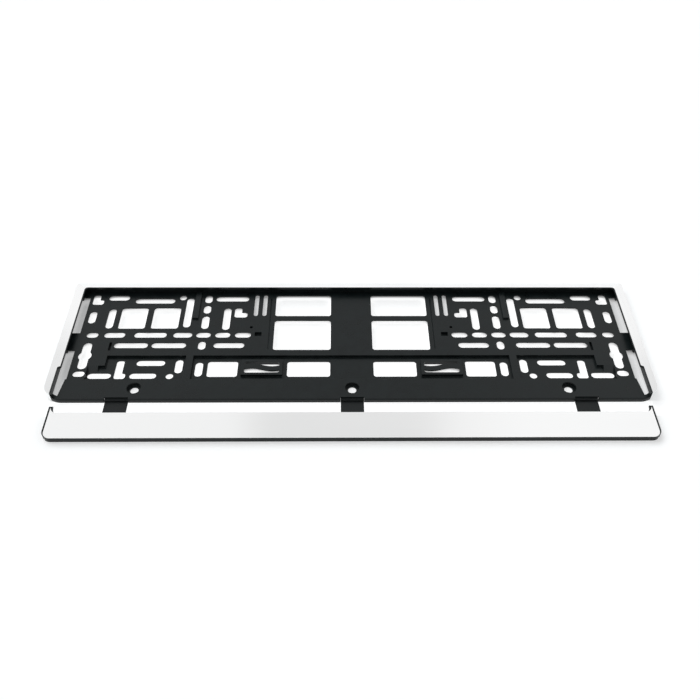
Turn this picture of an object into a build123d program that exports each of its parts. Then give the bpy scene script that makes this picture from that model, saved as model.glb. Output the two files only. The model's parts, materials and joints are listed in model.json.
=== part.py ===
"""Number plate holder: a pierced black base with a bright rim on three sides, and a fold-over lower strip.

The holder lies on its back. X runs along the plate, Y towards the holder's top edge, Z out of the front.
The origin is on the back plane, in the middle of the middle screw hole. All sizes are in millimetres.
The strip is drawn opened out, flat in front of the base, hanging on its three straps.
"""
import os
from math import cos, pi, sin

from build123d import *

# The plate that the holder takes, and the play around it
PLATE_WIDTH = 520.0
PLATE_HEIGHT = 112.0
PLATE_PLAY = 3.0

# The rim: a sloped roof on a thin wall, overhanging the plate's edges
LIP_REACH = 3.0
RIM_RUN = 11.2
LIP_HEIGHT = 11.7
EAVE_HEIGHT = 6.8
ROOF_THICKNESS = 1.6
OUTER_WALL = 2.0
INNER_WALL = 1.6
LIP_CORNER_RADIUS = 3.0
LOWER_CORNER_RADIUS = 16.0
UPPER_CORNER_RADIUS = 3.0

# The bright facing of the rim
TRIM_THICKNESS = 0.5
TRIM_LAND = 0.8
TRIM_FOOT = 1.0

# The web that carries the plate, and the plain band below it
WEB_LIFT = 3.1
WEB_THICKNESS = 1.4
BAND_HEIGHT = 23.8
BAND_EDGE_RADIUS = 1.4
SIDE_GAP = 7.7
GAP_REACH = 2.6
BRIDGE_LOW = 35.4
BRIDGE_HIGH = 57.4
GAP_TOP_LAND = 6.0
GAP_CORNER_WALL = 4.0
BAND_END_STEP = 1.1
BAND_END_SLANT = 2.5
EDGE_LAND = 2.0

# Pockets in the web, out from the middle and up from the band; a low ramp leads out of each side pocket
POCKET_DEPTH = 2.8
POCKET_WALL = 1.5
POCKET_HEIGHT = 28.6
MIDDLE_POCKET_END = 145.3
SIDE_POCKET_START = 152.0
SIDE_POCKET_END = 224.2
TOE_END = 230.1
TOE_HEIGHT = 16.2
RAMP_END = 239.5
RAMP_FOOT = 10.8

# A scored line on each side of the middle windows
SCORE_OUT = 77.8
SCORE_SPAN = (36.5, 105.0)
SCORE_WIDTH = 1.6
SCORE_DEPTH = 0.8

# Fixing slots: one width for all, windows and feet with a small corner
SLOT_WIDTH = 7.0
SLOT_END_FLATS = 6
WINDOW_RADIUS = 2.5
SPRING_SLOT_WIDTH = 4.0
KEYHOLE_SLOT_WIDTH = 8.3
KEYHOLE_BULGE = 12.0
ROUND_HOLE = 6.8

# Rows of slots: height above the band, then where each slot starts and ends, out from the middle
SLOT_ROWS = {
    105.4: [(217.0, 237.3)],
    104.1: [(99.9, 132.0)],
    101.2: [(172.0, 210.7)],
    55.0: [(94.6, 109.8), (114.1, 128.3), (132.4, 146.1), (149.8, 167.7), (212.7, 232.4), (237.8, 248.8)],
    41.6: [(99.8, 128.6), (153.9, 186.0), (189.3, 220.8)],
    21.9: [(170.8, 197.0)],
    6.4: [(176.7, 201.0), (217.5, 238.8), (240.4, 251.3)],
}

# The pair of long slots for the vehicle's own fixing points, with full round ends
FIXING_PAIR_HEIGHT = 55.0
FIXING_PAIR_START = 173.8
FIXING_PAIR_END = 204.2

# Columns of slots: distance out from the middle, then where each slot starts and ends above the band
SLOT_COLUMNS = {
    119.3: [(61.6, 91.5)],
    139.3: [(5.4, 23.1), (36.0, 46.8), (62.9, 80.4), (83.7, 94.9), (98.3, 109.0)],
    156.8: [(64.9, 105.4)],
    157.8: [(9.4, 26.3)],
    230.1: [(63.6, 90.4)],
    248.0: [(70.4, 86.8)],
}
SPRING_SLOTS = {83.7: (80.4, 110.0), 92.0: (80.4, 110.0)}
KEYHOLE_OUT = 244.9
KEYHOLE_SPAN = (12.0, 45.3)
KEYHOLE_MIDDLE = 28.6

# Windows: start and end out from the middle, then low and high edge above the band
WINDOWS = [
    (19.5, 73.1, 80.2, 108.8),
    (19.5, 73.1, 35.6, 74.3),
    (164.7, 190.4, 63.4, 91.8),
    (196.1, 221.4, 63.3, 91.5),
    (19.8, 59.0, 5.0, 23.8),
    (104.1, 131.6, 5.0, 24.0),
]

# Boot-shaped holes: toe and heel out from the middle, then sole and top above the band
BOOTS = [
    (241.3, 252.3, 96.0, 109.6),
    (100.0, 112.4, 78.3, 91.6),
    (204.7, 214.9, 2.7, 25.1),
]
ROUND_HOLES = [(164.7, 105.8), (164.8, 6.0)]

# A raised rib that runs up to the rim, and small blind sockets with a wall of their own behind the web
LONG_RIB = (146.5, 152.0, 75.9)
RIB_HEIGHT = 1.8
SQUARE_SOCKET = (84.8, 91.2, 53.5, 58.5)
NARROW_SOCKET = (222.9, 225.2, 35.0, 45.3)
ROUND_SOCKET = (95.0, 65.0)
ROUND_SOCKET_DIAMETER = 2.8
SOCKET_DEPTH = 3.0
SOCKET_WALL = 0.9

# Spring boxes in the middle pocket, each with a leaf in the shape of one wave
SPRING_BOX = (63.1, 100.6, 5.1, 23.5)
SPRING_WINDOW_INSET = 2.6
LEAF_WIDTH = 5.4
LEAF_SWING = 1.7
LEAF_THICKNESS = 1.6
LEAF_STATIONS = 9

# Screw holes in the band, each at the foot of a recess for the head, in a boss that reaches the back plane
SCREW_SPACING = 193.5
SCREW_HOLE = 7.4
HEAD_RECESS = 12.5
RECESS_DEPTH = 3.4
BOSS_WALL = 1.4
SCREW_DROP = 10.4

# Straps that carry the strip: each leaves the base by a notch and folds at its two ends
STRAP_INSET = 64.2
STRAP_WIDTH = 20.4
STRAP_THICKNESS = 0.8
NOTCH_PLAY = 0.35
NOTCH_DEPTH = 2.6
STRAP_SETBACK = 1.3
ROOT_THICKNESS = 2.0
FOLD_GAP = 0.3
FOLD_CLEARANCE = 0.3

# The lower strip, and how far it travels on its way to the closed place on the band
STRIP_HEIGHT = 27.0
STRIP_THICKNESS = 5.3
STRIP_FACE = 1.6
STRIP_WALL = 1.6
STRIP_END_GAP = 0.5
STRIP_CORNER_RADIUS = 8.0
STRIP_OVERHANG = 2.4
STRIP_TRAVEL = 40.0
STRIP_LIP_HEIGHT = 1.1
HINGE_LUG = 2.0
EAR_RISE = 7.1
EAR_WIDTH = 3.6
EAR_FLARE = 4.0
EAR_PLAY = 0.5
BRIGHT_BORDER = 1.8

# Places that follow from the sizes above
web_front = WEB_LIFT + WEB_THICKNESS
inner_x = PLATE_WIDTH / 2 + PLATE_PLAY
lip_x = inner_x - LIP_REACH
side_x = lip_x + RIM_RUN
web_x = inner_x - SIDE_GAP
band_y = SCREW_DROP
low_y = band_y - BAND_HEIGHT
inner_y = band_y + PLATE_HEIGHT + PLATE_PLAY
lip_y = inner_y - LIP_REACH
top_y = lip_y + RIM_RUN
strap_middles = {"left": STRAP_INSET - side_x, "middle": 0.0, "right": side_x - STRAP_INSET}
roof_slope = (LIP_HEIGHT - EAVE_HEIGHT) / RIM_RUN

# The straps fold over the front edge of the band, and lie between band and strip when the strip is closed
fold_y = low_y + STRAP_SETBACK
fold_z = (web_front + FOLD_CLEARANCE + STRAP_THICKNESS) / 2
lug_fold_y = fold_y - STRIP_TRAVEL / 2
strip_low_y = low_y - STRIP_OVERHANG - STRIP_TRAVEL
strip_high_y = strip_low_y + STRIP_HEIGHT
strip_x = inner_x - STRIP_END_GAP
seat_y = strip_high_y + STRIP_TRAVEL + EAR_RISE + EAR_PLAY


def prism(sketch, low, high):
    """A flat shape made solid between two heights."""
    return extrude(Pos(0, 0, low) * sketch, amount=high - low)


def panel(x_from, x_to, y_from, y_to, radius=0.0):
    """A rectangle between two corners, with its own corners rounded if asked."""
    width = x_to - x_from
    height = y_to - y_from
    shape = RectangleRounded(width, height, radius) if radius else Rectangle(width, height)
    return Pos((x_from + x_to) / 2, (y_from + y_to) / 2) * shape


def both_sides(shape):
    """A shape of the right half, with its mirror image on the left."""
    return shape + mirror(shape, about=Plane.YZ)


def plan_outline(grow):
    """The base's outline from the front, grown outwards by a thickness or drawn in by a negative one."""
    shape = panel(-side_x, side_x, low_y, top_y)
    shape = fillet(shape.vertices().sort_by(Axis.Y)[:2], LOWER_CORNER_RADIUS)
    shape = fillet(shape.vertices().sort_by(Axis.Y)[-2:], UPPER_CORNER_RADIUS)
    return offset(shape, grow, kind=Kind.INTERSECTION) if grow else shape


def under_roof(drop):
    """Everything below the rim's sloped roof, the roof lowered by a drop (or raised by a negative one)."""
    reach_x = side_x + RIM_RUN
    reach_y = top_y + RIM_RUN
    foot = LIP_HEIGHT - drop - roof_slope * (reach_x - lip_x)
    ridge = LIP_HEIGHT - drop
    floor = min(0.0, foot) - RIM_RUN
    gable = Polyline((-reach_x, floor), (reach_x, floor), (reach_x, foot), (lip_x, ridge), (-lip_x, ridge),
                     (-reach_x, foot), close=True)
    brow = Polyline((-reach_y, floor), (reach_y, floor), (reach_y, foot), (lip_y, ridge), (-reach_y, ridge),
                    close=True)
    across = extrude(Plane.XZ * make_face(gable), amount=reach_y, both=True)
    along = extrude(Plane.YZ * make_face(brow), amount=reach_x, both=True)
    return across & along


def mouth_plan(grow):
    """The opening between the lips, rounded at its upper corners, grown by the width of a land."""
    shape = panel(-lip_x - grow, lip_x + grow, low_y - RIM_RUN, lip_y + grow)
    return fillet(shape.vertices().sort_by(Axis.Y)[-2:], LIP_CORNER_RADIUS + grow)


def rim():
    """The rim on the top and both sides: outer wall, roof, inner wall and the lip over the plate's edges."""
    below = low_y - RIM_RUN
    hollow_top = 2 * LIP_HEIGHT
    plate_space = panel(-inner_x, inner_x, below, inner_y)
    inner_edge = panel(-inner_x - INNER_WALL, inner_x + INNER_WALL, below, inner_y + INNER_WALL)
    roof = under_roof(0) & prism(plan_outline(0), 0, hollow_top)
    beneath = under_roof(ROOF_THICKNESS)
    roof -= prism(mouth_plan(0), -hollow_top, hollow_top)
    roof -= beneath & prism(plate_space, -hollow_top, hollow_top)
    roof -= beneath & prism(plan_outline(-OUTER_WALL) - inner_edge, -hollow_top, hollow_top)
    seat = panel(-inner_x, inner_x, below, seat_y)
    return roof - prism(seat, web_front, hollow_top)


def side_gap():
    """The open gaps under the right-hand lip, above and below the bridge, from the web to the rim's hollow."""
    band_end = web_x + BAND_END_STEP
    gap_end = inner_x + GAP_REACH
    low = low_y + GAP_CORNER_WALL
    upper = panel(web_x, gap_end, band_y + BRIDGE_HIGH, lip_y - GAP_TOP_LAND)
    corners = [(web_x, band_y + BRIDGE_LOW), (web_x, band_y), (band_end, band_y),
               (band_end + BAND_END_SLANT, low), (gap_end, low), (gap_end, band_y + BRIDGE_LOW)]
    lower = make_face(Polyline(*corners, close=True)) & plan_outline(-GAP_CORNER_WALL)
    return upper + lower


def slot(x_middle, y_middle, length, width, turn=0):
    """A slot, turned upright if asked; each round end is drawn in a few flats, because there are so many."""
    reach = (length - width) / 2
    turns = [pi * step / SLOT_END_FLATS for step in range(SLOT_END_FLATS + 1)]
    end = [(reach + width / 2 * sin(angle), width / 2 * cos(angle)) for angle in turns]
    corners = end + [(-x, -y) for x, y in end]
    return Pos(x_middle, y_middle) * Rot(0, 0, turn) * make_face(Polyline(*corners, close=True))


def slot_across(start, end, height, width=SLOT_WIDTH):
    """A slot along the plate at a height above the band."""
    return slot((start + end) / 2, band_y + height, end - start, width)


def slot_upright(out, low, high, width=SLOT_WIDTH):
    """An upright slot at a distance out from the middle."""
    return slot(out, band_y + (low + high) / 2, high - low, width, turn=90)


def boot(toe, heel, sole, top):
    """An L-shaped hole: an upright leg on the outer side and a foot towards the middle."""
    leg = panel(heel - SLOT_WIDTH, heel, band_y + sole, band_y + top, WINDOW_RADIUS)
    foot = panel(toe, heel, band_y + sole, band_y + sole + SLOT_WIDTH, WINDOW_RADIUS)
    return leg + foot


def round_hole(out, height, diameter):
    """A round hole at a distance out from the middle and a height above the band."""
    return Pos(out, band_y + height) * Circle(diameter / 2)


def area(start, end, low, high, radius=0.0):
    """A rectangle given out from the middle and up from the band."""
    return panel(start, end, band_y + low, band_y + high, radius)


def has_room(hole):
    """Whether a hole lies on the web, clear of its outer edge and of the rim."""
    box = hole.bounding_box()
    return box.max.X <= web_x - EDGE_LAND and box.max.Y <= inner_y - EDGE_LAND


def fixing_holes():
    """Every slot, window and hole of the right half that the web has room for."""
    holes = [slot_across(start, end, height) for height, row in SLOT_ROWS.items() for start, end in row]
    holes += [slot_upright(out, low, high) for out, column in SLOT_COLUMNS.items() for low, high in column]
    holes += [slot_upright(out, *span, SPRING_SLOT_WIDTH) for out, span in SPRING_SLOTS.items()]
    holes += [area(*window, WINDOW_RADIUS) for window in WINDOWS]
    holes += [boot(*shape) for shape in BOOTS]
    holes += [round_hole(out, height, ROUND_HOLE) for out, height in ROUND_HOLES]
    holes.append(slot_upright(KEYHOLE_OUT, *KEYHOLE_SPAN, KEYHOLE_SLOT_WIDTH))
    holes.append(round_hole(KEYHOLE_OUT, KEYHOLE_MIDDLE, KEYHOLE_BULGE))
    pair_length = FIXING_PAIR_END - FIXING_PAIR_START
    pair_middle = (FIXING_PAIR_START + FIXING_PAIR_END) / 2
    holes.append(Pos(pair_middle, band_y + FIXING_PAIR_HEIGHT) * SlotOverall(pair_length, SLOT_WIDTH))
    return Sketch() + [hole for hole in holes if has_room(hole)]


def pockets():
    """The plans of the pockets: one across the middle and one on each side, with its toe."""
    side = area(SIDE_POCKET_START, SIDE_POCKET_END, 0, POCKET_HEIGHT)
    toe = area(SIDE_POCKET_END - POCKET_WALL, TOE_END, 0, TOE_HEIGHT)
    middle = area(-MIDDLE_POCKET_END, MIDDLE_POCKET_END, 0, POCKET_HEIGHT)
    return [middle, side + toe, mirror(side + toe, about=Plane.YZ)]


def walled(plan, wall):
    """A plan with a wall of its own all round."""
    return offset(plan, wall, kind=Kind.INTERSECTION)


def toe_ramp():
    """The hollow of the right-hand ramp: flat at the pocket's depth, then rising to the web."""
    floor = web_front - POCKET_DEPTH
    start = SIDE_POCKET_END - POCKET_WALL
    corners = [(band_y, floor), (band_y + RAMP_FOOT, floor), (band_y + TOE_HEIGHT, web_front), (band_y, web_front)]
    section = Plane.YZ.offset(start) * make_face(Polyline(*corners, close=True))
    return extrude(section, amount=RAMP_END - start)


def score_line():
    """The V-shaped groove beside the right-hand windows."""
    low, high = SCORE_SPAN
    half = SCORE_WIDTH / 2
    corners = [(SCORE_OUT - half, web_front), (SCORE_OUT + half, web_front), (SCORE_OUT, web_front - SCORE_DEPTH)]
    section = make_face(Polyline(*corners, close=True))
    return Pos(0, band_y + high, 0) * extrude(Plane.XZ * section, amount=high - low)


def sockets(base):
    """The small blind sockets of both halves, each in a wall of its own behind the web."""
    plans = [area(*SQUARE_SOCKET), area(*NARROW_SOCKET), round_hole(*ROUND_SOCKET, ROUND_SOCKET_DIAMETER)]
    floor = web_front - SOCKET_DEPTH
    for plan in plans:
        base += prism(both_sides(walled(plan, SOCKET_WALL)), floor - SOCKET_WALL, WEB_LIFT)
        base -= prism(both_sides(plan), floor, web_front)
    return base


def screw_places(diameter):
    """A disc at each of the three screw holes of the band."""
    return Sketch() + [round_hole(out, -SCREW_DROP, diameter) for out in (-SCREW_SPACING, 0, SCREW_SPACING)]


def spring_leaf():
    """The wave-shaped leaf across the right-hand spring box, as thick as it is moulded."""
    start, end, low, high = SPRING_BOX
    middle = band_y + (low + high) / 2
    length = end - start

    def edge(side):
        stations = [step / (LEAF_STATIONS - 1) for step in range(LEAF_STATIONS)]
        return [(start + length * share, middle + side * LEAF_WIDTH / 2 - LEAF_SWING * sin(2 * pi * share))
                for share in stations]

    upper = Spline(*edge(1))
    lower = Spline(*edge(-1))
    ends = [Line(upper @ 0, lower @ 0), Line(upper @ 1, lower @ 1)]
    return prism(make_face([upper, lower, *ends]), web_front - LEAF_THICKNESS, web_front)


def spring_boxes(web):
    """Both spring boxes: a raised frame in the middle pocket, a window and the leaf across it."""
    start, end, low, high = SPRING_BOX
    inset = SPRING_WINDOW_INSET
    frame = area(start, end, low, high)
    opening = area(start + inset, end - inset, low + inset, high - inset, WINDOW_RADIUS)
    web += prism(both_sides(frame), web_front - POCKET_DEPTH, web_front)
    web -= prism(both_sides(opening), 0, web_front)
    return web + both_sides(spring_leaf())


def strap_roots(base):
    """The notches in the lower wall, the wall behind each notch, and the lug that each strap joins."""
    half = STRAP_WIDTH / 2
    notch_back = low_y + NOTCH_DEPTH
    root_back = notch_back + ROOT_THICKNESS
    for middle in strap_middles.values():
        notch = panel(middle - half - NOTCH_PLAY, middle + half + NOTCH_PLAY, low_y - OUTER_WALL, notch_back)
        base -= prism(notch, 0, web_front)
        root = panel(middle - half, middle + half, fold_y + FOLD_GAP / 2, root_back)
        riser = panel(middle - half, middle + half, notch_back, root_back)
        base += prism(root, fold_z - STRAP_THICKNESS, fold_z)
        base += prism(riser, 0, WEB_LIFT + WEB_THICKNESS / 2)
    return base


def base_plate():
    """The moulded base: skirt, web with its pockets and holes, rim, screw bosses and strap roots."""
    slab = prism(plan_outline(0), 0, web_front)
    front_edges = slab.faces().sort_by(Axis.Z)[-1].edges().filter_by(
        lambda edge: edge.center().Y < low_y + LOWER_CORNER_RADIUS)
    slab = fillet(front_edges, BAND_EDGE_RADIUS)
    base = slab - prism(plan_outline(-OUTER_WALL), 0, WEB_LIFT)
    base += rim()
    plans = pockets()
    for plan in plans + [both_sides(area(SIDE_POCKET_END, RAMP_END, 0, TOE_HEIGHT))]:
        base += prism(walled(plan, POCKET_WALL), WEB_LIFT - POCKET_DEPTH, web_front)
    for plan in plans:
        base -= prism(plan, web_front - POCKET_DEPTH, web_front)
    base -= both_sides(toe_ramp())
    base -= both_sides(score_line())
    base -= prism(both_sides(fixing_holes()), -web_front, LIP_HEIGHT - ROOF_THICKNESS)
    base -= prism(both_sides(side_gap()), 0, web_front)
    base = sockets(spring_boxes(base))
    base += prism(both_sides(area(*LONG_RIB, PLATE_HEIGHT)), web_front, web_front + RIB_HEIGHT)
    base += prism(screw_places(HEAD_RECESS + 2 * BOSS_WALL), 0, WEB_LIFT)
    base -= prism(screw_places(HEAD_RECESS), web_front - RECESS_DEPTH, web_front)
    base -= prism(screw_places(SCREW_HOLE), 0, web_front)
    return strap_roots(base)


def frame_trim():
    """The bright facing: a thin skin on the roof that turns down over the outer wall."""
    below = low_y - RIM_RUN
    sky = 2 * LIP_HEIGHT
    lift = TRIM_THICKNESS * (1 + roof_slope ** 2) ** 0.5
    seat = panel(-inner_x - TRIM_LAND, inner_x + TRIM_LAND, below, seat_y + TRIM_LAND)
    skin = under_roof(-lift) & prism(plan_outline(TRIM_THICKNESS), TRIM_FOOT, sky)
    skin -= under_roof(0) & prism(plan_outline(0), -sky, sky)
    tail = panel(-side_x, side_x, below, low_y + OUTER_WALL)
    return skin - prism(mouth_plan(TRIM_LAND) + seat + tail, -sky, sky)


def strip_plan(border):
    """The strip's outline with its two ears; the bright face is drawn in by a border at the ends."""
    end = strip_x - border
    body = panel(-end, end, strip_low_y, strip_high_y)
    body = fillet(body.vertices().sort_by(Axis.Y)[:2], STRIP_CORNER_RADIUS - border)
    ear_top = strip_high_y + EAR_RISE
    ear_foot = strip_x - EAR_WIDTH - EAR_FLARE
    ear = panel(ear_foot, end, strip_high_y - STRIP_WALL, ear_top - border)
    scoop = Pos(ear_foot, ear_top) * Ellipse(EAR_FLARE + border, EAR_RISE)
    return body + both_sides(ear - scoop)


def cover_strip():
    """The strip's black body: face, ears, lower wall, end walls and the lugs that the straps join."""
    under_face = STRIP_THICKNESS - STRIP_FACE
    inside = panel(-strip_x + STRIP_WALL, strip_x - STRIP_WALL, strip_low_y + STRIP_WALL, strip_high_y)
    skirt = strip_plan(0) - inside
    skirt -= panel(-strip_x, strip_x, strip_high_y, strip_high_y + EAR_RISE)
    strip = prism(strip_plan(0), under_face, STRIP_THICKNESS) + prism(skirt, 0, under_face)
    lip = panel(-strip_x, strip_x, strip_high_y - STRIP_WALL, strip_high_y)
    strip += prism(lip, under_face - STRIP_LIP_HEIGHT, under_face)
    lug_front = lug_fold_y - FOLD_GAP / 2
    for middle in strap_middles.values():
        lug = panel(middle - STRAP_WIDTH / 2, middle + STRAP_WIDTH / 2, lug_front - HINGE_LUG, lug_front)
        strip += prism(lug, FOLD_CLEARANCE, under_face)
    return strip


def strip_trim():
    """The bright face of the strip."""
    return prism(strip_plan(BRIGHT_BORDER), STRIP_THICKNESS, STRIP_THICKNESS + TRIM_THICKNESS)


def hinge_strap(middle):
    """One strap: a flat leaf that runs under the strip, and a short upright foot in the notch of the base."""
    left = middle - STRAP_WIDTH / 2
    right = middle + STRAP_WIDTH / 2
    near_y = fold_y - FOLD_GAP / 2
    leaf = panel(left, right, lug_fold_y + FOLD_GAP / 2, near_y)
    foot = panel(left, right, near_y - STRAP_THICKNESS, near_y)
    return prism(leaf, 0, STRAP_THICKNESS) + prism(foot, 0, fold_z - FOLD_GAP / 2)


nodes = {
    "base_plate": base_plate(),
    "frame_trim": frame_trim(),
    "cover_strip": cover_strip(),
    "strip_trim": strip_trim(),
}
for side, middle in strap_middles.items():
    nodes[f"hinge_strap_{side}"] = hinge_strap(middle)

os.makedirs("parts", exist_ok=True)
for name, node in nodes.items():
    export_step(node, f"parts/{name}.step")
    print(name, round(node.volume, 1), node.bounding_box())
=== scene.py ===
# %% [markdown]
# # A number plate holder, dressed for a studio photograph
#
# The holder is a flat black moulding, about half a metre long, with a bright sloped rim and a bright lower
# strip that folds over on three short straps. Its solids come in at their true size and place. This lesson
# gives them what a mould and a plating bath give the real ones: soft edges, moulded plastic and a metallised
# facing. A plain white table and soft light then make the picture.

# %% Load the solids
import json
import math

import bpy
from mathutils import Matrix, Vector

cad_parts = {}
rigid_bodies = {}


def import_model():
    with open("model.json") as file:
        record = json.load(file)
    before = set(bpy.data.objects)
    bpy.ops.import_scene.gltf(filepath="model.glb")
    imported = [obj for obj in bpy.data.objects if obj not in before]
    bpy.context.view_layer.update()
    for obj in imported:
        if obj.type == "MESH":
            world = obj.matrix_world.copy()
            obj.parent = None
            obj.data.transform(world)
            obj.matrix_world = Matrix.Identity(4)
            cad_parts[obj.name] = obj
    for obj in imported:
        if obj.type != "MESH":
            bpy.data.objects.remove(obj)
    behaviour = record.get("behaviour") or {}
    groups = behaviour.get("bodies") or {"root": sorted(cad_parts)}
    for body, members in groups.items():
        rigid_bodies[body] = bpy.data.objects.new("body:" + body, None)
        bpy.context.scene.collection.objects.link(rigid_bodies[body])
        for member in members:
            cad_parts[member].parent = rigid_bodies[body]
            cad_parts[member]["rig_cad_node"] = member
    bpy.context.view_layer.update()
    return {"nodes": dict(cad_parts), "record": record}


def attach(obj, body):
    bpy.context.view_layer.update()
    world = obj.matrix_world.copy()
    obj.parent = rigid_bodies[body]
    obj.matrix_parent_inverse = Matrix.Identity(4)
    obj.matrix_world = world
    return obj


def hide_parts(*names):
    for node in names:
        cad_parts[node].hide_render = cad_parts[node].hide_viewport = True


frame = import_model()
MM = 0.001
print("nodes:", ", ".join(sorted(frame["nodes"])))

# %% [markdown]
# ## Colours
#
# Colours are written as the hex values that a screen shows. Blender works in linear light, so one function
# turns the first into the second.

# %% Screen colours to linear light


def linear(hex_colour):
    """A screen colour such as #1a2b3c as linear red, green, blue and alpha, by the sRGB curve."""
    parts = [int(hex_colour[place:place + 2], 16) / 255 for place in (1, 3, 5)]
    return [part / 12.92 if part <= 0.04045 else ((part + 0.055) / 1.055) ** 2.4 for part in parts] + [1.0]


print("#808080 in linear light:", [round(part, 3) for part in linear("#808080")])

# %% [markdown]
# ## Helpers for finishes
#
# A material is a small graph of nodes around one shader. One function adds a node with its settings and its
# links, so that a finish reads from top to bottom. Patterns are measured in millimetres on the real surface,
# and another function turns such a size into the scale that a texture node takes.

# %% Node helpers


def set_values(node, values):
    """Type values into the inputs of a node."""
    for name, value in values.items():
        node.inputs[name].default_value = value


def plug(tree, node, links):
    """Link the inputs of a node to the outputs of others."""
    for name, socket in links.items():
        tree.links.new(socket, node.inputs[name])


def add(tree, kind, values=None, links=None, **settings):
    """Add one node to a graph, set its properties and input values, and link its inputs to other sockets."""
    node = tree.nodes.new(kind)
    for name, value in settings.items():
        setattr(node, name, value)
    set_values(node, values or {})
    plug(tree, node, links or {})
    return node


def new_finish(name):
    """A new material, with its graph and its shader."""
    material = bpy.data.materials.new(name)
    material.use_nodes = True
    tree = material.node_tree
    return material, tree, tree.nodes["Principled BSDF"]


def scale_for(size_mm):
    """The texture scale at which one feature of a pattern is about this many millimetres wide."""
    return 1 / (size_mm * MM)


print("texture scale for 5 mm:", scale_for(5.0))

# %% [markdown]
# ## Black ABS
#
# The base is injection-moulded ABS, black all through, from a mould with a satin polish. The plastic itself
# is nearly black, and what the eye sees on it is a dim mirror image of the white studio, a few percent
# strong. Slight waves where the melt cooled, and patches of more or less polish, keep that image from being
# even. So the colour stays very dark, and the work is done by roughness and bump on Object coordinates.
#
# A Mix node has its own sockets for each kind of data, and the numbers below are those for colours.

# %% Black moulded plastic
ABS_SHINE = {"IOR": 1.5, "Specular IOR Level": 0.25}  # a satin surface mirrors less than a polished one
MELT_WAVES = {"Scale": scale_for(38.0), "Detail": 2.0}
MELT_WAVE_BUMP = {"Strength": 0.4, "Distance": 0.15 * MM}
POLISH_PATCHES = {"Scale": scale_for(9.0), "Detail": 4.0}
GRAIN = {"Scale": scale_for(0.9), "Detail": 3.0}  # the real grain is finer; this is as fine as can show
GRAIN_BUMP = {"Strength": 0.2, "Distance": 0.02 * MM}
NOISE_RANGE = {"From Min": 0.3, "From Max": 0.7}  # most of a noise lies between these values
MIX_BY, MIX_FIRST, MIX_SECOND, MIX_RESULT = 0, 6, 7, 2


def moulded_black(name, dark, pale, polish):
    """Black moulded plastic between two near-black colours, with roughness between two values of polish."""
    material, tree, shader = new_finish(name)
    set_values(shader, ABS_SHINE)
    place = add(tree, "ShaderNodeTexCoord").outputs["Object"]
    waves = add(tree, "ShaderNodeTexNoise", MELT_WAVES, {"Vector": place})
    patches = add(tree, "ShaderNodeTexNoise", POLISH_PATCHES, {"Vector": place})
    grain = add(tree, "ShaderNodeTexNoise", GRAIN, {"Vector": place})
    colour = add(tree, "ShaderNodeMix", {MIX_FIRST: linear(dark), MIX_SECOND: linear(pale)},
                 {MIX_BY: patches.outputs["Fac"]}, data_type="RGBA")
    rough = add(tree, "ShaderNodeMapRange", {**NOISE_RANGE, "To Min": polish[0], "To Max": polish[1]},
                {"Value": patches.outputs["Fac"]})
    wavy = add(tree, "ShaderNodeBump", MELT_WAVE_BUMP, {"Height": waves.outputs["Fac"]})
    grainy = add(tree, "ShaderNodeBump", GRAIN_BUMP,
                 {"Height": grain.outputs["Fac"], "Normal": wavy.outputs["Normal"]})
    plug(tree, shader, {"Base Color": colour.outputs[MIX_RESULT], "Roughness": rough.outputs["Result"],
                        "Normal": grainy.outputs["Normal"]})
    return material


black_abs = moulded_black("black_abs_satin", "#0b0f10", "#131a1b", (0.24, 0.4))
strap_abs = moulded_black("black_abs_flexed", "#0f1213", "#171b1c", (0.42, 0.55))
print("made", black_abs.name, "and", strap_abs.name)

# %% [markdown]
# ## Bright facing
#
# The rim and the strip carry a thin metallised facing, the chrome look of car trim. It is a metal to the eye:
# no colour of its own, a clear reflection, and a faint ripple like orange peel, because a plated film
# follows every small wave of the plastic under it. Wiping leaves long soft smears, which show as changes of
# roughness.

# %% Metallised facing
FILM_COLOURS = ("#f3f4f4", "#fcfcfc")
FILM_POLISH = {"To Min": 0.06, "To Max": 0.15}
PEEL = {"Scale": scale_for(5.0), "Detail": 2.0}
PEEL_BUMP = {"Strength": 0.15, "Distance": 0.02 * MM}
SMEARS = {"Scale": scale_for(45.0), "Detail": 5.0}
SMEAR_STRETCH = (0.12, 1.0, 1.0)


def metallised(name):
    """A bright metallised film on plastic, with orange peel and wiping smears along its length."""
    material, tree, shader = new_finish(name)
    set_values(shader, {"Metallic": 1.0})
    place = add(tree, "ShaderNodeTexCoord").outputs["Object"]
    along = add(tree, "ShaderNodeMapping", {"Scale": SMEAR_STRETCH}, {"Vector": place})
    smears = add(tree, "ShaderNodeTexNoise", SMEARS, {"Vector": along.outputs["Vector"]})
    peel = add(tree, "ShaderNodeTexNoise", PEEL, {"Vector": place})
    dull, clear = (linear(colour) for colour in FILM_COLOURS)
    colour = add(tree, "ShaderNodeMix", {MIX_FIRST: dull, MIX_SECOND: clear},
                 {MIX_BY: smears.outputs["Fac"]}, data_type="RGBA")
    rough = add(tree, "ShaderNodeMapRange", {**NOISE_RANGE, **FILM_POLISH}, {"Value": smears.outputs["Fac"]})
    ripple = add(tree, "ShaderNodeBump", PEEL_BUMP, {"Height": peel.outputs["Fac"]})
    plug(tree, shader, {"Base Color": colour.outputs[MIX_RESULT], "Roughness": rough.outputs["Result"],
                        "Normal": ripple.outputs["Normal"]})
    return material


bright_facing = metallised("metallised_facing")
print("made", bright_facing.name)

# %% [markdown]
# ## A merged copy of a solid
#
# A solid arrives as loose triangles, and stays as it is. What is dressed is a copy: its triangles are merged
# into one skin, and each flat area becomes a single face. Merging also takes away edges under a tenth of a
# millimetre, which no mould could show, and which would get in the way of the rounding that comes next.

# %% Copy and merge
MERGE = 0.09 * MM
FLAT = math.radians(0.2)


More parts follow.
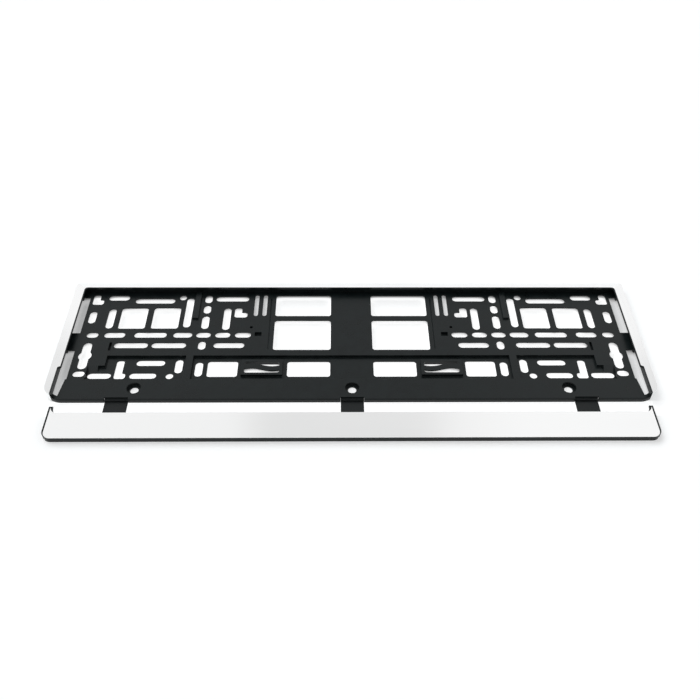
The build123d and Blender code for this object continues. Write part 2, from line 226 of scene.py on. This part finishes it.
def merged_copy(node, name):
    """Copy a solid under a new name, with its triangles merged and its flat areas made single faces."""
    bpy.ops.object.select_all(action="DESELECT")
    solid = frame["nodes"][node]
    solid.select_set(True)
    bpy.context.view_layer.objects.active = solid
    bpy.ops.object.duplicate()
    piece = bpy.context.active_object
    piece.name = name
    piece.data.name = name
    bpy.ops.object.parent_clear(type="CLEAR_KEEP_TRANSFORM")
    del piece["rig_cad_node"]
    bpy.ops.object.mode_set(mode="EDIT")
    bpy.ops.mesh.select_all(action="SELECT")
    bpy.ops.mesh.remove_doubles(threshold=MERGE)
    bpy.ops.mesh.dissolve_limited(angle_limit=FLAT)
    bpy.ops.object.mode_set(mode="OBJECT")
    return piece


print("solids to copy:", len(frame["nodes"]))

# %% [markdown]
# ## Soft edges
#
# A mould can't make a knife edge: every edge of the real holder is rounded by a tenth of a millimetre or two,
# and that thin round is what catches the light. The solids have their larger rounds already, so a Bevel
# modifier rounds whatever is still sharp. Its clamp is off, because with it the shortest edge of a mesh holds
# all the others back. Weighted normals then keep the large flats truly flat, and the shading turns only on
# the rounds. The copy takes the solid's place, and rides on the same body.

# %% Round the edges
SHARP = math.radians(40)
ROUND_STEPS = 2
MOULD_ROUND_MM = 0.2
STRAP_ROUND_MM = 0.15
FACING_ROUND_MM = 0.09
bodies = frame["record"]["behaviour"]["bodies"]
body_of_node = {node: body for body, nodes in bodies.items() for node in nodes}


def softened(node, name, radius_mm, material):
    """Copy a solid, round the copy's sharp edges by a radius, and let the copy stand for the solid."""
    piece = merged_copy(node, name)
    bevel = piece.modifiers.new("soft_edges", "BEVEL")
    bevel.width = radius_mm * MM
    bevel.segments = ROUND_STEPS
    bevel.limit_method = "ANGLE"
    bevel.angle_limit = SHARP
    bevel.use_clamp_overlap = False
    bpy.ops.object.modifier_apply(modifier=bevel.name)
    bpy.ops.object.shade_smooth_by_angle(angle=SHARP)
    flats = piece.modifiers.new("true_flats", "WEIGHTED_NORMAL")
    flats.keep_sharp = True
    bpy.ops.object.modifier_apply(modifier=flats.name)
    piece.data.materials.clear()
    piece.data.materials.append(material)
    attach(piece, body_of_node[node])
    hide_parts(node)
    triangles = sum(len(face.vertices) - 2 for face in piece.data.polygons)
    print(name, "has", len(piece.data.polygons), "faces,", triangles, "triangles")


print("body of each solid:", body_of_node)

# %% [markdown]
# ## The base and its rim
#
# The base is one moulding: web, pockets, slots, ribs, lower band and rim. Its edges get the round of a sharp
# mould. The facing on the rim is half a millimetre thin, so its round is smaller.

# %% Base and rim
softened("base_plate", "base_moulding", MOULD_ROUND_MM, black_abs)
softened("frame_trim", "rim_facing", FACING_ROUND_MM, bright_facing)

# %% [markdown]
# ## The lower strip and its straps
#
# The strip is the same black plastic with a bright face, and a dark edge of the plastic shows at its ends and
# along its lower side. The straps are thin enough to bend, and bending has dulled their surface.

# %% Strip and straps
softened("cover_strip", "strip_moulding", MOULD_ROUND_MM, black_abs)
softened("strip_trim", "strip_facing", FACING_ROUND_MM, bright_facing)
for side in ("left", "middle", "right"):
    softened(f"hinge_strap_{side}", f"strap_{side}", STRAP_ROUND_MM, strap_abs)

# %% [markdown]
# ## Helpers for the studio
#
# Some things in the studio have to look white without putting more light on the holder. So they glow only for
# the rays that draw the picture: those from the camera, off a shiny surface or through glass. How strongly
# they glow is set by a ramp of grey levels.

# %% Picture rays and ramps


def picture_rays(tree):
    """A socket that is 1 for the rays that draw the picture, and 0 for those that light other things."""
    path = add(tree, "ShaderNodeLightPath").outputs
    seen = add(tree, "ShaderNodeMath", None, {0: path["Is Camera Ray"], 1: path["Is Glossy Ray"]},
               operation="MAXIMUM")
    seen = add(tree, "ShaderNodeMath", None, {0: seen.outputs[0], 1: path["Is Transmission Ray"]},
               operation="MAXIMUM")
    return seen.outputs[0]


def set_stops(ramp, levels):
    """Give a ramp one stop for each place, from 0 to 1, with its grey level."""
    stops = ramp.elements
    stops.remove(stops[1])
    for place, level in levels.items():
        stop = stops[0] if place == min(levels) else stops.new(place)
        stop.position = place
        stop.color = (level, level, level, 1.0)


print("helpers:", picture_rays.__name__, "and", set_stops.__name__)

# %% [markdown]
# ## White table
#
# The holder was photographed on a white table that runs out of the picture on every side. Most of the
# table's brightness is ordinary diffuse white, which takes the holder's soft shadow. The rest is a glow in
# the picture rays, so that the table reads as white. An Ambient Occlusion node tells how much open sky each
# spot has, and a ramp sets the glow by it. Where the ramp raises the glow it paints light, and where it
# lowers it, shade.
#
# There are three such ramps. The open table glows almost evenly and keeps the shadow; its ramp paints a
# little light where the sky is half closed and a little shade where it is nearly closed. The lamp hardly
# reaches the table under the web and in the gap before the strip, and the photograph shows it white there, so
# there it glows more, as painted light over the shade. In a few narrow places the photograph shows it grey,
# and there it glows less, as painted shade.

# %% Table finish
WHITE = linear("#ffffff")
TABLE_WHITE = "#d0d2d3"
TABLE_ROUGHNESS = 0.9
SKY_REACH_MM = 9.0
SKY_SAMPLES = 16
# Each glow is given for a share of open sky, from 0 to 1.
# Open table: a little painted light where the sky is half closed, a little painted shade where it is nearly
# closed.
OPEN_GLOW = {0.15: 0.2, 0.3: 0.44, 0.56: 0.44, 0.86: 0.35, 1.0: 0.365}
# Painted light: much more glow where the sky is partly open, so the shade under the web reads white.
PAINTED_LIGHT_GLOW = {0.15: 0.2, 0.3: 0.82, 0.56: 0.82, 0.86: 0.46, 1.0: 0.4}
# Painted shade: less glow everywhere, so the table under the rim's sides and the narrow slots reads grey.
PAINTED_SHADE_GLOW = {0.15: 0.1, 0.3: 0.38, 0.56: 0.38, 0.86: 0.17, 1.0: 0.18}


def table_with_painted_glow(name, glow_at_sky):
    """White table that takes shadows, with a glow for each share of open sky, by which it paints light and
    shade.
    """
    material, tree, shader = new_finish(name)
    set_values(shader, {"Base Color": linear(TABLE_WHITE), "Roughness": TABLE_ROUGHNESS,
                        "Specular IOR Level": 0.0, "Emission Color": WHITE})
    sky = add(tree, "ShaderNodeAmbientOcclusion", {"Distance": SKY_REACH_MM * MM}, samples=SKY_SAMPLES)
    lit = add(tree, "ShaderNodeValToRGB", None, {"Fac": sky.outputs["AO"]})
    set_stops(lit.color_ramp, glow_at_sky)
    glow = add(tree, "ShaderNodeMath", None, {0: picture_rays(tree), 1: lit.outputs["Color"]},
               operation="MULTIPLY")
    plug(tree, shader, {"Emission Strength": glow.outputs[0]})
    return material


open_white = table_with_painted_glow("white_table", OPEN_GLOW)
painted_light_finish = table_with_painted_glow("painted_light_table", PAINTED_LIGHT_GLOW)
painted_shade_finish = table_with_painted_glow("painted_shade_table", PAINTED_SHADE_GLOW)
print("made", open_white.name + ",", painted_light_finish.name, "and", painted_shade_finish.name)

# %% [markdown]
# ## Pieces of table
#
# The open table is one large plane just under the holder. Smaller pieces with the other two glows lie on it,
# higher by a hundredth of a millimetre at most: pieces of painted light under the web and in the gap before
# the strip, and pieces of painted shade under the sides of the rim, where the closed outer wall keeps light
# out, and under the two pairs of narrow slots. Each place has its middle and its span, along and across the
# holder, and each piece of painted shade is laid twice, on the left and on the right.

# %% Lay the table
TABLE_SPAN_MM = (6000.0, 6000.0)
OPEN_DROP_MM, PAINTED_LIGHT_DROP_MM, PAINTED_SHADE_DROP_MM = 0.05, 0.045, 0.04
# Places of painted light, then places of painted shade, each as its middle and its span in millimetres.
PAINTED_LIGHT_PLACES_MM = {"web": ((0.0, 66.5), (508.0, 109.0)), "strap_gap": ((0.0, -20.5), (556.0, 17.0))}
PAINTED_SHADE_PLACES_MM = {"rim": ((260.2, 62.0), (10.8, 142.0)), "narrow_slots": ((87.9, 105.6), (18.0, 32.0))}


def table_piece(name, middle_mm, span_mm, drop_mm, material):
    """One flat piece of the table, or a piece of painted light or painted shade laid on it."""
    bpy.ops.object.select_all(action="DESELECT")
    place_mm = Vector((*middle_mm, -drop_mm))
    bpy.ops.mesh.primitive_plane_add(size=1.0, location=place_mm * MM)
    piece = bpy.context.active_object
    piece.name = name
    piece.scale = (span_mm[0] * MM, span_mm[1] * MM, 1.0)
    piece.data.materials.append(material)
    print(name, "is", span_mm[0], "by", span_mm[1], "mm")


table_piece("table", (0.0, 0.0), TABLE_SPAN_MM, OPEN_DROP_MM, open_white)
# Pieces of painted light first, then pieces of painted shade on the left and the right.
for place, (middle, span) in PAINTED_LIGHT_PLACES_MM.items():
    table_piece(f"table_under_{place}", middle, span, PAINTED_LIGHT_DROP_MM, painted_light_finish)
for place, ((out, middle), span) in PAINTED_SHADE_PLACES_MM.items():
    for side, sign in (("left", -1), ("right", 1)):
        table_piece(f"table_under_{place}_{side}", (sign * out, middle), span, PAINTED_SHADE_DROP_MM, painted_shade_finish)

# %% [markdown]
# ## White tent
#
# A white tent round the table lights the holder from all sides. It is the world background. The camera sees
# it plain white, and reflections show its panels: one on the left, a dimmer one straight behind, and the
# brightest on the right, as they are in the bright strip of the photograph. Far out to the sides they fade,
# which darkens the near ends of the rim. Their brightness is given at places from -1, the far left, to 1, the
# far right.

# %% World
TENT_LIGHT = 0.6
PANELS = {-0.74: 0.83, -0.7: 1.0, -0.62: 0.97, -0.14: 0.95, -0.08: 0.81, 0.1: 0.81, 0.15: 0.95, 0.24: 1.0,
          0.72: 0.98, 0.78: 0.8}

world = bpy.data.worlds.new("white_tent")
world.use_nodes = True
bpy.context.scene.world = world
tree = world.node_tree
tent = tree.nodes["Background"]
set_values(tent, {"Color": WHITE})
direction = add(tree, "ShaderNodeTexCoord").outputs["Generated"]
way = add(tree, "ShaderNodeSeparateXYZ", None, {"Vector": direction})
across = add(tree, "ShaderNodeMapRange", {"From Min": -1.0, "From Max": 1.0}, {"Value": way.outputs["X"]})
panels = add(tree, "ShaderNodeValToRGB", None, {"Fac": across.outputs["Result"]})
panels.color_ramp.interpolation = "EASE"
set_stops(panels.color_ramp, {(place + 1) / 2: level for place, level in PANELS.items()})
mirrored = add(tree, "ShaderNodeMapRange", {"To Min": TENT_LIGHT},
               {"Value": picture_rays(tree), "To Max": panels.outputs["Color"]})
camera_ray = add(tree, "ShaderNodeLightPath").outputs["Is Camera Ray"]
strength = add(tree, "ShaderNodeMath", None, {0: mirrored.outputs["Result"], 1: camera_ray},
               operation="MAXIMUM")
plug(tree, tent, {"Strength": strength.outputs[0]})
print("tent of", len(PANELS), "levels, lighting at", TENT_LIGHT)

# %% [markdown]
# ## Soft lamp
#
# A large soft lamp shines from behind on the left, so the shadows are soft and fall to the front and the
# right. A Sun lamp with a wide angle gives such light, and lights the whole table evenly. It is behind the
# tent, so it has no mirror image of its own.

# %% Lamp
LAMP_PLACE = (-0.7, 0.7, 1.1)
LAMP_WIDTH = math.radians(45)
LAMP_STRENGTH = 1.8

bpy.ops.object.light_add(type="SUN", location=LAMP_PLACE)
lamp = bpy.context.active_object
lamp.name = "soft_lamp"
lamp.data.angle = LAMP_WIDTH
lamp.data.energy = LAMP_STRENGTH
lamp.visible_glossy = False
lamp.rotation_euler = (-lamp.location).to_track_quat("-Z", "Y").to_euler()
print("lamp of strength", LAMP_STRENGTH, "shining from", LAMP_PLACE)

# %% [markdown]
# ## The camera
#
# The photograph looks down at the holder from the front, with the strip nearest. Its tilt, distance and lens
# were found by matching the straight edges of the holder to those in the picture. The two halves of the
# holder are mirror images, and they only agree in the picture when the camera stands about a degree to the
# left and leans a little to one side.

# %% Camera
AIM_MM = (-1.42, 49.8, 0.0)
TILT = math.radians(47)
TURN = math.radians(1.15)
LEAN = math.radians(0.78)
DISTANCE_MM = 751.2
LENS = 41.34

aim = Vector(AIM_MM) * MM
away = Vector((-math.sin(TURN) * math.cos(TILT), -math.cos(TURN) * math.cos(TILT), math.sin(TILT)))
bpy.ops.object.camera_add(location=aim + away * DISTANCE_MM * MM)
camera = bpy.context.active_object
camera.data.lens = LENS
camera.rotation_euler = (aim - camera.location).to_track_quat("-Z", "Y").to_euler()
camera.rotation_euler.rotate_axis("Z", LEAN)
bpy.context.scene.camera = camera
bpy.context.scene.view_settings.view_transform = "Standard"
print("camera at", [round(value / MM, 1) for value in camera.location], "mm")

# %% [markdown]
# ## Bring the scene up to date
#
# The dressed holder has to keep the size of its solids. The last line brings the scene up to date.

# %% Update the scene
bpy.context.view_layer.update()
